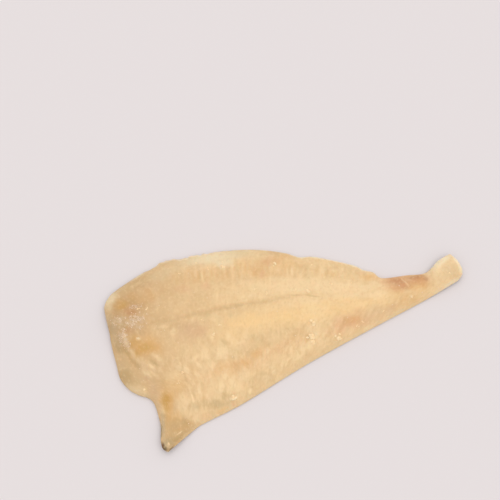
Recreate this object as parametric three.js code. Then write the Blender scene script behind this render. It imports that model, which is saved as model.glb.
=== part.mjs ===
// A frozen plaice fillet that lies on its skin with the cut flesh up.
// Millimetres, +Z up. X runs from the head end to the tail, Y from the belly edge to the back edge.
// The fillet is one closed solid: a relief of muscle on top, a smooth skin side below and a thin round rim.

import * as THREE from "three";

// Outline seen from above, in arcs that meet at the ends of the lateral line and at the four corners.
const LATERAL_LINE = [
  [-120.7, 19.5], [-90, 17.5], [-43, 17.9], [-14, 17], [7.5, 15.8], [27, 10.4], [50, 7.9], [76, 8.8],
  [98, 11.1], [121.6, 14.3],
];
const BACK_EDGE = [
  [-122, 37.5], [-119.3, 42.8], [-113.2, 48], [-95, 57.1], [-86, 60], [-78, 63.3], [-58, 63.2], [-36, 62.7],
  [-14, 59.2], [5, 52.8], [15, 47.2], [26, 45], [49, 34], [56, 28.6], [62, 25.4], [67, 20], [84, 18.6],
  [97, 17.4], [108, 23.9], [117, 26.7],
];
const BELLY_EDGE = [
  [-94.8, -64.4], [-85.5, -59], [-77, -54.2], [-71, -51.6], [-53, -47], [-40.5, -43.2], [2.5, -27.8],
  [46.7, -14.3], [91, -1.4], [116.2, 6.9],
];
const HEAD_ABOVE_LINE = [[-120.7, 19.5], [-121.6, 29], [-122, 37.5]];
const HEAD_BELOW_LINE = [
  [-120.7, 19.5], [-120.4, 10], [-119, -3], [-117.8, -12.5], [-113.4, -20.4], [-108, -25.2], [-102, -28.6],
  [-98.8, -33], [-97.4, -42], [-97, -48], [-98.2, -56.5], [-97.7, -61.8], [-94.8, -64.4],
];
const TAIL_ABOVE_LINE = [[121.6, 14.3], [120.2, 20.8], [117, 26.7]];
const TAIL_BELOW_LINE = [[121.6, 14.3], [120.6, 10.4], [116.2, 6.9]];

// The flakes of muscle lean as they run out from the lateral line: tailwards above it, headwards below it.
const BACK_LEAN = 0.2;
const BELLY_LEAN = -0.5;
// How fast the bow of the head and tail arcs dies away along the fillet.
const END_BOW_FADE = 4;

// Small waves in the frayed part of the back edge.
const FRAY_HEIGHT = 0.35;
const FRAY_PITCHES = [4.6, 7.3];
const FRAY_CENTRE_X = -60;
const FRAY_REACH_X = 45;
const FRAY_DEPTH = 14;

// Thickness of the thickest muscle, by the part of the length from the head end.
const THICKNESS_ALONG = [
  [0, 4.6], [0.05, 6.2], [0.12, 8.4], [0.22, 10.4], [0.34, 11], [0.5, 10.2], [0.66, 8.6], [0.8, 6.4],
  [0.88, 5.2], [1, 4.4],
];
// Share of that thickness, from the belly edge (-1) over the lateral line (0) to the back edge (1).
const SHARE_ACROSS = [
  [-1, 0.16], [-0.92, 0.34], [-0.8, 0.56], [-0.68, 0.65], [-0.57, 0.66], [-0.46, 0.79], [-0.24, 0.98],
  [-0.1, 1], [0, 0.95], [0.12, 1], [0.3, 0.95], [0.46, 0.76], [0.62, 0.63], [0.78, 0.54], [0.92, 0.36],
  [1, 0.2],
];
// Towards the tail the bands give way to one plain swell, with this share left at its edges.
const STALK_START = 0.6;
const STALK_END = 0.86;
const STALK_EDGE_SHARE = 0.4;

// Groove of the lateral line, deepest in the front half.
const GROOVE_DEPTH = 0.8;
const GROOVE_HALF_WIDTH = 2.6;
const GROOVE_ALONG = [
  [0, 0], [0.08, 0.15], [0.22, 0.8], [0.38, 1], [0.46, 0.7], [0.54, 0.3], [0.64, 0.1], [0.78, 0], [1, 0],
];

// Ribs of the muscle flakes, across one band on either side of the lateral line.
const RIB_COUNT = 68;
const RIB_HEIGHT = 0.22;
const RIB_BANDS = [{ across: 0.6, spread: 0.2 }, { across: -0.6, spread: 0.15 }];
const RIB_START = 0.14;
const RIB_END = 0.76;
const RIB_FADE = 0.1;

// The belly flap: thin wall outside a crest, given as the crest's x by its y.
const FLAP_THICKNESS = 2.6;
const CREST_X_BY_Y = [
  [-70, -93], [-48, -94], [-33, -94.2], [-19, -98], [-3, -104], [12, -111.5], [26, -119], [36, -127],
  [70, -140],
];
const CREST_FOOT = -5;
const CREST_TOP = 3;
// The bare corner at the belly tip: skin and thin wall beyond a slanting line x + y = constant.
const CORNER_LINE_SUM = -129;
const CORNER_SLOPE = 12;

// Hollow in the upper side of the tail stalk, and the step up to the cut tail stub.
const TAIL_HOLLOW = { x: 83, y: 15, reachX: 19, reachY: 9, depth: 1.5 };
const STUB_START_X = 97;
const STUB_STEP_LENGTH = 4;
const STUB_STEP = 0.7;

// The rim: one shared edge line, with a round shoulder above it and a tighter one below.
const RIM_HEIGHT = 0.8;
const SHOULDER = 3;
const SKIN_INSET = 1.5;

// The tail end turns up with its upper edge highest, and the belly tip and the head corner curl a little.
const TAIL_LIFT = 3;
const TAIL_LIFT_START_X = 84;
const TAIL_LIFT_END_X = 122;
const TAIL_TWIST_LOW_Y = 6;
const TAIL_TWIST_HIGH_Y = 26;
const TAIL_TWIST = 0.5;
const CURLS = [
  { x: -96, y: -63, reach: 26, lift: 2.4 },
  { x: -121, y: 38, reach: 45, lift: 1.6 },
];

// Fineness of the faces: columns to a rib up to the given rib, and rows that crowd at the line and the edges.
const COLUMN_STRETCHES = [
  { toRib: 9, columnsPerRib: 3 },
  { toRib: 54, columnsPerRib: 2 },
  { toRib: RIB_COUNT, columnsPerRib: 1.5 },
];
const END_COLUMN = 0.0026;
const BACK_ROWS = 13;
const BELLY_ROWS = 24;
const ROW_CROWDING = 0.6;
const SKIN_COLUMNS = 28;
const SKIN_BACK_ROWS = 5;
const SKIN_BELLY_ROWS = 14;
const OUTLINE_STEPS = 400;

const FLESH_COLOUR = 0xe8c594;
const FLESH_ROUGHNESS = 0.5;
const FLESH_METALNESS = 0;

function arc(points) {
  return new THREE.SplineCurve(points.map(([x, y]) => new THREE.Vector2(x, y)));
}

// A smooth function through [position, value] pairs.
function through(pairs) {
  const positions = pairs.map(([position]) => position);
  const values = pairs.map(([, value]) => value);
  const interpolant = new THREE.CubicInterpolant(positions, values, 1, new Float64Array(1));
  return (position) => interpolant.evaluate(position)[0];
}

const lateralLine = arc(LATERAL_LINE);
const backSide = {
  edge: arc(BACK_EDGE), head: arc(HEAD_ABOVE_LINE), tail: arc(TAIL_ABOVE_LINE), lean: BACK_LEAN,
};
const bellySide = {
  edge: arc(BELLY_EDGE), head: arc(HEAD_BELOW_LINE), tail: arc(TAIL_BELOW_LINE), lean: BELLY_LEAN,
};
const thicknessAlong = through(THICKNESS_ALONG);
const shareAcross = through(SHARE_ACROSS);
const grooveAlong = through(GROOVE_ALONG);
const crestX = through(CREST_X_BY_Y);

// Falls from 1 at the middle of a feature to 0 at its reach.
function bell(offset) {
  return THREE.MathUtils.smoothstep(1 - Math.abs(offset), 0, 1);
}

function sideOf(across) {
  return across < 0 ? bellySide : backSide;
}

// Point of the edge that the flake at this part of the length runs out to.
function edgePoint(side, along) {
  return side.edge.getPointAt(along + side.lean * along * (1 - along));
}

function halfWidth(side, along) {
  return lateralLine.getPointAt(along).distanceTo(edgePoint(side, along));
}

function frayAt(x) {
  const waves = FRAY_PITCHES.map((pitch) => Math.sin((2 * Math.PI * x) / pitch));
  const wave = waves.reduce((sum, value) => sum + value, 0) / waves.length;
  return FRAY_HEIGHT * wave * bell((x - FRAY_CENTRE_X) / FRAY_REACH_X);
}

// Plan position: along runs 0 to 1 from head to tail, across runs -1 to 1 from belly edge to back edge.
function planPoint(along, across) {
  const side = sideOf(across);
  const reach = Math.abs(across);
  const point = lateralLine.getPointAt(along).lerp(edgePoint(side, along), reach);
  const ends = [[side.head, 1 - along], [side.tail, along]];
  for (const [end, nearness] of ends) {
    const chord = end.getPointAt(0).lerp(end.getPointAt(1), reach);
    const bow = end.getPointAt(reach).sub(chord);
    point.addScaledVector(bow, nearness ** END_BOW_FADE);
  }
  if (across > 0) {
    point.y += frayAt(point.x) * reach ** FRAY_DEPTH;
  }
  return point;
}

function outlinePoints() {
  const points = [];
  for (let i = 0; i < OUTLINE_STEPS; i++) {
    const share = i / OUTLINE_STEPS;
    points.push(planPoint(share, 1), planPoint(1 - share, -1));
    points.push(planPoint(0, 2 * share - 1), planPoint(1, 1 - 2 * share));
  }
  return points;
}

const outline = outlinePoints();

function distanceToOutline(point) {
  return Math.sqrt(Math.min(...outline.map((edge) => edge.distanceToSquared(point))));
}

// Quarter-round profile: 0 at the edge line, 1 from the given width inwards.
function shoulder(distance, width) {
  const outside = 1 - Math.min(distance / width, 1);
  return Math.sqrt(1 - outside * outside);
}

function ribHeight(along, across) {
  const { smoothstep } = THREE.MathUtils;
  const fadeIn = smoothstep(along, RIB_START, RIB_START + RIB_FADE);
  const fadeOut = 1 - smoothstep(along, RIB_END - RIB_FADE, RIB_END);
  const band = Math.max(...RIB_BANDS.map((rib) => bell((across - rib.across) / rib.spread)));
  return RIB_HEIGHT * band * fadeIn * fadeOut * Math.cos(2 * Math.PI * RIB_COUNT * along);
}

// Thickness of the fillet inside its rim.
function thicknessAt(along, across, point) {
  const { lerp, smoothstep } = THREE.MathUtils;
  const fromLine = Math.abs(across) * halfWidth(sideOf(across), along);
  const stalkShare = lerp(1, STALK_EDGE_SHARE, across * across);
  const share = lerp(shareAcross(across), stalkShare, smoothstep(along, STALK_START, STALK_END));
  const muscle = thicknessAlong(along) * share
    - GROOVE_DEPTH * grooveAlong(along) * bell(fromLine / GROOVE_HALF_WIDTH)
    + ribHeight(along, across);
  const insideCrest = smoothstep(point.x - crestX(point.y), CREST_FOOT, CREST_TOP);
  const insideCorner = smoothstep((point.x + point.y - CORNER_LINE_SUM) / Math.SQRT2, 0, CORNER_SLOPE);
  const body = lerp(Math.min(FLAP_THICKNESS, muscle), muscle, insideCrest * insideCorner);
  const hollowX = (point.x - TAIL_HOLLOW.x) / TAIL_HOLLOW.reachX;
  const hollowY = (point.y - TAIL_HOLLOW.y) / TAIL_HOLLOW.reachY;
  const hollow = TAIL_HOLLOW.depth * bell(Math.hypot(hollowX, hollowY));
  const stub = STUB_STEP * smoothstep(point.x, STUB_START_X, STUB_START_X + STUB_STEP_LENGTH);
  return body - hollow + stub;
}

// Height of the skin side above the table.
function liftAt(point) {
  const { smoothstep } = THREE.MathUtils;
  const twist = 1 - TAIL_TWIST + TAIL_TWIST * smoothstep(point.y, TAIL_TWIST_LOW_Y, TAIL_TWIST_HIGH_Y);
  const tail = TAIL_LIFT * twist * smoothstep(point.x, TAIL_LIFT_START_X, TAIL_LIFT_END_X);
  const curls = CURLS.map((curl) => {
    const distance = Math.hypot(point.x - curl.x, point.y - curl.y);
    return curl.lift * bell(distance / curl.reach);
  });
  return curls.reduce((sum, lift) => sum + lift, tail);
}

// Steps from 0 to 1 that crowd at both ends.
function crowdedSteps(count) {
  const steps = [];
  for (let i = 0; i <= count; i++) {
    const share = i / count;
    steps.push(share - (ROW_CROWDING * Math.sin(2 * Math.PI * share)) / (2 * Math.PI));
  }
  return steps;
}

// Rows from the belly edge to the back edge, with one row on the lateral line.
function rowsAcross(bellyCount, backCount) {
  const belly = crowdedSteps(bellyCount).map((step) => -step).reverse();
  return belly.concat(crowdedSteps(backCount).slice(1));
}

// Columns from the head end to the tail end, with one more close to either end for the round rim.
function columnsAlong() {
  const columns = [0, END_COLUMN];
  let rib = 0;
  for (const { toRib, columnsPerRib } of COLUMN_STRETCHES) {
    const count = Math.round((toRib - rib) * columnsPerRib);
    for (let i = 1; i <= count; i++) {
      columns.push((rib + ((toRib - rib) * i) / count) / RIB_COUNT);
    }
    rib = toRib;
  }
  columns.splice(-1, 0, 1 - END_COLUMN);
  return columns;
}

// Two triangles for each cell of a grid of vertex numbers; flip turns them over.
function gridFaces(grid, flip) {
  const faces = [];
  for (let i = 0; i + 1 < grid.length; i++) {
    for (let j = 0; j + 1 < grid[i].length; j++) {
      const [a, b, c, d] = [grid[i][j], grid[i + 1][j], grid[i + 1][j + 1], grid[i][j + 1]];
      faces.push(...(flip ? [a, d, b, b, d, c] : [a, b, d, b, c, d]));
    }
  }
  return faces;
}

// A strip of triangles between two rows of vertices, each given as { vertex, share } from 0 to 1.
function stripFaces(outer, inner) {
  const faces = [];
  let i = 0;
  let j = 0;
  while (i + 1 < outer.length || j + 1 < inner.length) {
    const innerDone = j + 1 === inner.length;
    const outerNext = i + 1 < outer.length && (innerDone || outer[i + 1].share <= inner[j + 1].share);
    if (outerNext) {
      faces.push(outer[i].vertex, outer[i + 1].vertex, inner[j].vertex);
      i += 1;
    } else {
      faces.push(outer[i].vertex, inner[j + 1].vertex, inner[j].vertex);
      j += 1;
    }
  }
  return faces;
}

// The four border rows of a grid, in turn round it: belly edge backwards, head, back edge, tail.
function borderRows(grid, columnShares, rowShares) {
  const last = grid.length - 1;
  const top = rowShares.length - 1;
  const lengthwise = (row) => grid.map((column, i) => ({ vertex: column[row], share: columnShares[i] }));
  const crosswise = (i) => grid[i].map((vertex, row) => ({ vertex, share: (rowShares[row] + 1) / 2 }));
  const backwards = (row) => row.reverse().map(({ vertex, share }) => ({ vertex, share: 1 - share }));
  return [backwards(lengthwise(0)), crosswise(0), lengthwise(top), backwards(crosswise(last))];
}

function filletGeometry() {
  const positions = [];
  const addVertex = (point, z) => positions.push(point.x, point.y, z) / 3 - 1;

  const columns = columnsAlong();
  const rows = rowsAcross(BELLY_ROWS, BACK_ROWS);
  const flesh = columns.map((along) => rows.map((across) => {
    const point = planPoint(along, across);
    const border = Math.abs(across) === 1 || along === 0 || along === 1;
    const rise = border ? 0 : shoulder(distanceToOutline(point), SHOULDER);
    const top = RIM_HEIGHT + (thicknessAt(along, across, point) - RIM_HEIGHT) * rise;
    return addVertex(point, liftAt(point) + top);
  }));

  const skinColumns = Array.from({ length: SKIN_COLUMNS + 1 }, (_, i) => i / SKIN_COLUMNS);
  const skinRows = rowsAcross(SKIN_BELLY_ROWS, SKIN_BACK_ROWS);
  const endInset = SKIN_INSET / lateralLine.getLength();
  const skin = skinColumns.map((share) => skinRows.map((rowShare) => {
    const along = endInset + share * (1 - 2 * endInset);
    const across = rowShare * (1 - SKIN_INSET / halfWidth(sideOf(rowShare), along));
    const point = planPoint(along, across);
    return addVertex(point, liftAt(point));
  }));

  const rim = borderRows(flesh, columns, rows);
  const skinBorder = borderRows(skin, skinColumns, skinRows);
  const faces = [
    ...gridFaces(flesh, false),
    ...gridFaces(skin, true),
    ...rim.flatMap((row, i) => stripFaces(row, skinBorder[i])),
  ];

  const geometry = new THREE.BufferGeometry();
  geometry.setAttribute("position", new THREE.Float32BufferAttribute(positions, 3));
  geometry.setIndex(faces);
  return geometry;
}

// Centres the box of the fillet over the origin and stands it on z = 0.
function standOnOrigin(geometry) {
  geometry.computeBoundingBox();
  const { min, max } = geometry.boundingBox;
  geometry.translate(-(min.x + max.x) / 2, -(min.y + max.y) / 2, -min.z);
  geometry.computeVertexNormals();
  return geometry;
}

const flesh = new THREE.MeshStandardMaterial({
  name: "flesh", color: FLESH_COLOUR, roughness: FLESH_ROUGHNESS, metalness: FLESH_METALNESS,
});
const fillet = new THREE.Mesh(standOnOrigin(filletGeometry()), flesh);
fillet.name = "fillet";

const plaiceFillet = new THREE.Group();
plaiceFillet.name = "plaice_fillet";
plaiceFillet.add(fillet);

export default plaiceFillet;
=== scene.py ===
"""A frozen plaice fillet lying on its skin with the cut flesh up, on a plain pale floor.

The fillet repeats the form of the CAD solid on a finer mesh, with torn flakes, folds and a frayed edge.
Lengths are in millimetres: x runs from head to tail, y from belly to back. Colours are display values.
"""

import itertools
import math
from types import SimpleNamespace

import bpy
import numpy as np
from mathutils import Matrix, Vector
from mathutils.kdtree import KDTree


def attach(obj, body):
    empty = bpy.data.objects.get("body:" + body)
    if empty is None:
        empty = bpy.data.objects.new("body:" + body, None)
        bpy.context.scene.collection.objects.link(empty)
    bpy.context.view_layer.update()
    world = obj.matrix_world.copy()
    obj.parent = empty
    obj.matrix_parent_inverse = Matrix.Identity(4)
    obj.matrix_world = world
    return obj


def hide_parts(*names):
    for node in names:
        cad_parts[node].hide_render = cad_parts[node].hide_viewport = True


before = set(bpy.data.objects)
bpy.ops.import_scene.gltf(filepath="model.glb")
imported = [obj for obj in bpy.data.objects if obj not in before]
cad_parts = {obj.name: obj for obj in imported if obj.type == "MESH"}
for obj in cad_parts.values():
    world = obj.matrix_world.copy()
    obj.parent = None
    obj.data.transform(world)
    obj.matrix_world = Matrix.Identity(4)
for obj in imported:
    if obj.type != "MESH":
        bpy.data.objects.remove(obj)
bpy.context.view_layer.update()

MM = 0.001

# Seeds of the bumps and the ice, then of each other kind of unevenness. Its layers count on from its seed.
SEED = 7
RIB_SWAY_SEED = SEED + 20
RIB_BREAK_SEED = SEED + 21
STRIPE_SWAY_SEED = SEED + 22
STRIPE_BREAK_SEED = SEED + 23
STRAY_X_SEED = SEED + 30
STRAY_Y_SEED = SEED + 40
FLAKE_SEED = SEED + 50
CLUMP_SEED = SEED + 60
EDGE_SEED = SEED + 61
FRAY_SEED = SEED + 62
# Cells after which the noise repeats.
NOISE_CELLS = 256

# Outline seen from above. The head and tail arcs are given between the ends of the line and of the edges.
LATERAL_LINE = [
    (-120.7, 19.5), (-90, 17.5), (-43, 17.9), (-14, 17), (7.5, 15.8), (27, 10.4), (50, 7.9), (76, 8.8),
    (98, 11.1), (121.6, 14.3),
]
BACK_EDGE = [
    (-122, 37.5), (-119.3, 42.8), (-113.2, 48), (-95, 57.1), (-86, 60), (-78, 63.3), (-58, 63.2),
    (-36, 62.7), (-14, 59.2), (5, 52.8), (15, 47.2), (26, 45), (49, 34), (56, 28.6), (62, 25.4), (67, 20),
    (84, 18.6), (97, 17.4), (108, 23.9), (117, 26.7),
]
BELLY_EDGE = [
    (-94.8, -64.4), (-85.5, -59), (-77, -54.2), (-71, -51.6), (-53, -47), (-40.5, -43.2), (2.5, -27.8),
    (46.7, -14.3), (91, -1.4), (116.2, 6.9),
]
HEAD_ABOVE_LINE = [(-121.6, 29)]
HEAD_BELOW_LINE = [
    (-120.4, 10), (-119, -3), (-117.8, -12.5), (-113.4, -20.4), (-108, -25.2), (-102, -28.6), (-98.8, -33),
    (-97.4, -42), (-97, -48), (-98.2, -56.5), (-97.7, -61.8),
]
TAIL_ABOVE_LINE = [(120.2, 20.8)]
TAIL_BELOW_LINE = [(120.6, 10.4)]
# How far the steps along an edge run ahead of those along the line, and how fast the bow of the ends fades.
BACK_LEAN = 0.2
BELLY_LEAN = -0.5
END_BOW_FADE = 4
SPLINE_STEPS = 60

# Small waves and jags in the frayed part of the back edge.
FRAY_HEIGHT = 0.35
FRAY_PITCHES = (4.6, 7.3)
FRAY_CENTRE_X = -60
FRAY_REACH_X = 45
FRAY_DEPTH = 14
FRAY_RAG = 0.7
FRAY_RAG_CELL = 2.6

# Thickness of the thickest muscle by the part of the length, and its share from belly edge to back edge.
THICKNESS_ALONG = [
    (0, 4.6), (0.05, 6.2), (0.12, 8.4), (0.22, 10.4), (0.34, 11), (0.5, 10.2), (0.66, 8.6), (0.8, 6.4),
    (0.88, 5.2), (1, 4.4),
]
SHARE_ACROSS = [
    (-1, 0.16), (-0.92, 0.34), (-0.8, 0.56), (-0.68, 0.65), (-0.57, 0.66), (-0.46, 0.79), (-0.24, 0.98),
    (-0.1, 1), (0, 0.95), (0.12, 1), (0.3, 0.95), (0.46, 0.76), (0.62, 0.63), (0.78, 0.54), (0.92, 0.36),
    (1, 0.2),
]
STALK_START = 0.6
STALK_END = 0.86
STALK_EDGE_SHARE = 0.4
GROOVE_DEPTH = 0.8
GROOVE_HALF_WIDTH = 2.6
GROOVE_ALONG = [
    (0, 0), (0.08, 0.15), (0.22, 0.8), (0.38, 1), (0.46, 0.7), (0.54, 0.3), (0.64, 0.1), (0.78, 0), (1, 0),
]

# Ribs of the muscle flakes, across one band on either side of the lateral line: middle and half width.
RIB_COUNT = 68
RIB_HEIGHT = 0.22
RIB_BANDS = [(0.6, 0.2), (-0.6, 0.15)]
RIB_START = 0.14
RIB_END = 0.76
RIB_FADE = 0.1
RIB_SWAY = 0.3
RIB_SWAY_CELL = 12
RIB_BREAK_CELL = 8
RIB_MEAN_STRENGTH = 0.55

# The belly flap outside its crest, and the bare corner at the belly tip.
FLAP_THICKNESS = 2.6
CREST_X_BY_Y = [
    (-70, -93), (-48, -94), (-33, -94.2), (-19, -98), (-3, -104), (12, -111.5), (26, -119), (36, -127),
    (70, -140),
]
CREST_FOOT = -5
CREST_TOP = 3
CORNER_LINE_SUM = -129
CORNER_SLOPE = 12

# Hollow in the tail stalk as a fold is given below, and the step up to the cut stub.
TAIL_HOLLOW = (83, 15, 19, 9, 0)
TAIL_HOLLOW_DEPTH = 1.5
STUB_START_X = 97
STUB_STEP_LENGTH = 4
STUB_STEP = 0.7

# Rim, and the lift of the tail end and of two corners.
RIM_HEIGHT = 0.8
SHOULDER = 3
SKIN_INSET = 1.5
TAIL_LIFT = 3
TAIL_LIFT_X = (84, 122)
TAIL_TWIST_Y = (6, 26)
TAIL_TWIST = 0.5
CURLS = [(-96, -63, 26, 2.4), (-121, 38, 45, 1.6)]

# Fineness of the mesh.
COLUMNS = 6 * RIB_COUNT
END_STEPS = (0, 0.2, 0.5)
BACK_ROWS = 70
BELLY_ROWS = 116
ROW_CROWDING = 0.6
SKIN_COLUMNS = 90
SKIN_BACK_ROWS = 16
SKIN_BELLY_ROWS = 32
OUTLINE_STEPS = 2400

# Uneven surface of the flesh: cell of the bumps and their height.
BUMPS = [(14, 0.2), (6, 0.1), (2.4, 0.05)]
# Torn flakes: size along the fish and out from its line, share of the border that slopes, and height.
FLAKE_SIZES = [(6.5, 11), (3.6, 5)]
FLAKE_BORDER = 0.32
FLAKE_HEIGHT = 0.12
# Where the flakes are strong: from and to across, fade, from and to along, fade. Elsewhere they are weaker.
FLAKE_BAND = (-0.9, -0.36, 0.2, 0.1, 0.64, 0.16)
FLAKES_ELSEWHERE = 0.3
# Short folds: x, y, reach along and across the fold, turn in degrees, height.
FOLDS = [
    (-100.2, -14, 4.6, 1.7, -54, 0.5),
    (-96.3, -10.8, 4, 1.4, -44, 0.4),
    (-92.2, -5.7, 5.6, 2, -42, 0.35),
    (79.9, 11.9, 4.8, 1.4, -75, 0.4),
    (-88, -56, 7, 1.4, 23, 0.3),
]

# Tints in the order they are laid on: colour, how far it is broken up, size and stretch of the breaks.
BASE_COLOUR = (239, 205, 156)
TINTS = {
    # Tan is painted shade over the head end, and elsewhere a darker tone of the flesh.
    "tan": ((206, 168, 122), 0.25, 11, 1.3),
    "bark": ((190, 150, 102), 0.25, 5, 1.2),
    "yellow": ((250, 211, 152), 0.15, 14, 1),
    "grey": ((212, 182, 134), 0.4, 6, 1.4),
    "pink": ((225, 180, 125), 0.35, 5, 2),
    "dents": ((214, 178, 128), 0.3, 3, 1.2),
    "chips": ((254, 225, 178), 0.3, 3, 1.4),
    "mauve": ((214, 174, 136), 0.3, 5, 1.4),
    "rose": ((228, 176, 134), 0.3, 5, 1.4),
    "flap": ((213, 182, 136), 0.3, 6, 1.2),
    # Dusk and ash are painted shade along the head's left edge, over the flap's darker tone there;
    # elsewhere they are dark tints of the flesh.
    "dusk": ((192, 162, 120), 0.3, 6, 1.2),
    "corner": ((204, 168, 118), 0.25, 6, 1.2),
    "ash": ((198, 174, 138), 0.3, 5, 1.2),
    # Olive is painted shade at the foot of the flap's crest, and a dark tone of the flesh elsewhere.
    "olive": ((184, 154, 104), 0.3, 5, 1.4),
    "orange": ((228, 178, 112), 0.3, 5, 1.2),
    "mustard": ((207, 160, 88), 0.2, 5, 1.2),
    "russet": ((214, 154, 108), 0.2, 6, 1.2),
    "brown": ((192, 138, 94), 0.3, 4, 1.2),
    "cream": ((251, 221, 174), 0.3, 3, 1.6),
    "rim": ((226, 202, 160), 0.3, 5, 1.2),
    "white": ((248, 230, 194), 0.2, 2.4, 1.2),
    "groove": ((196, 164, 116), 0.4, 5, 1.4),
    "frost": ((222, 195, 162), 0.9, 2, 1),
    "skin": ((104, 88, 62), 0.1, 5, 1),
}

# Painted shade over the head end, darker towards the left: strength of the tan tint by x, leaning tailwards
# above the given y.
HEAD_PAINTED_SHADE = [(-160, 1), (-108, 1), (-92, 0.66), (-78, 0.4), (-64, 0.22), (-46, 0.08), (-30, 0), (200, 0)]
HEAD_PAINTED_SHADE_LEAN = 0.3
HEAD_PAINTED_SHADE_Y = 12

# Bands of tint: tint, from and to across, fade, from and to along, fade, strength.
BANDS = [
    ("yellow", -0.34, -0.1, 0.2, 0.34, 0.76, 0.24, 0.75),
    ("grey", -0.54, -0.4, 0.1, 0.26, 0.6, 0.1, 0.2),
    ("pink", 0.45, 0.74, 0.22, 0.22, 0.52, 0.24, 0.95),
    ("pink", -0.74, -0.46, 0.2, 0.42, 0.84, 0.2, 0.3),
    ("russet", -0.7, -0.56, 0.2, 0.2, 0.66, 0.2, 0.22),
    ("cream", 0.1, 0.44, 0.2, 0.4, 0.76, 0.2, 0.55),
]

# Tinted edges: tint, side of the line, width from the edge, fade, from and to along, fade, strength.
EDGES = [
    ("rim", 1, 3, 3, -0.1, 0.2, 0.1, 0.3),
    ("rim", 1, 8, 6, 0.2, 0.4, 0.1, 0.85),
    ("rim", -1, 1.4, 1.4, 0.08, 1.1, 0.05, 0.35),
    ("white", 1, 0.8, 0.8, 0.36, 0.5, 0.1, 0.5),
    ("white", 1, 1.6, 1.2, 0.5, 0.72, 0.06, 0.8),
    ("grey", -1, 6, 5, 0.1, 0.7, 0.1, 0.25),
]

# Tinted edges inside an oval: tint, width from the edge, fade, then the oval as for a patch, strength.
EDGE_SPOTS = [
    ("skin", 0.6, 0.6, -98, -53, 10, 4, 88, 0.36),
    ("skin", 1.5, 1, -97.4, -61.6, 3.6, 2.8, 60, 0.95),
    ("skin", 0.7, 0.7, -92.6, -63, 2.2, 1.6, 30, 0.6),
    ("white", 4.4, 3, 108, 23, 10, 5.4, 25, 1),
    ("white", 3, 2.4, 120, 18, 9, 4, 100, 1),
    ("white", 1.6, 1.6, 110, 6, 12, 3, 20, 0.6),
    ("white", 9, 5, -45, 57, 16, 9, -5, 0.55),
    ("white", 1.6, 1.2, -58, 62, 26, 6, -2, 0.8),
    ("rim", 6.4, 4, -118, 41, 8.5, 6.4, 75, 1),
    ("white", 5, 4, -117.6, 43, 5, 4.4, 60, 0.4),
    # Painted shade along the head's left edge, over the flap's darker tone.
    ("dusk", 4, 3.6, -119.5, 23, 9, 5, 88, 1),
    ("ash", 1.6, 1.6, -106, 51, 14, 5, 25, 0.5),
    ("ash", 5, 5, -115, -12, 12, 8, -60, 0.3),
    ("rim", 3, 3, -109, -23.5, 8, 4, -38, 0.7),
    ("tan", 5, 4, -2, 54, 9, 6, -20, 0.7),
    ("frost", 0.6, 0.6, -58, 63, 26, 5, -1, 0.7),
    ("russet", 4, 3, 78, 19, 11, 5, -6, 0.6),
]

# How far the tinted edges are ragged, the size of the jags, and where across the fillet an edge sets in.
EDGE_RAG = 0.7
EDGE_RAG_CELL = 1.8
EDGE_ACROSS = (0.2, 0.5)

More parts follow.
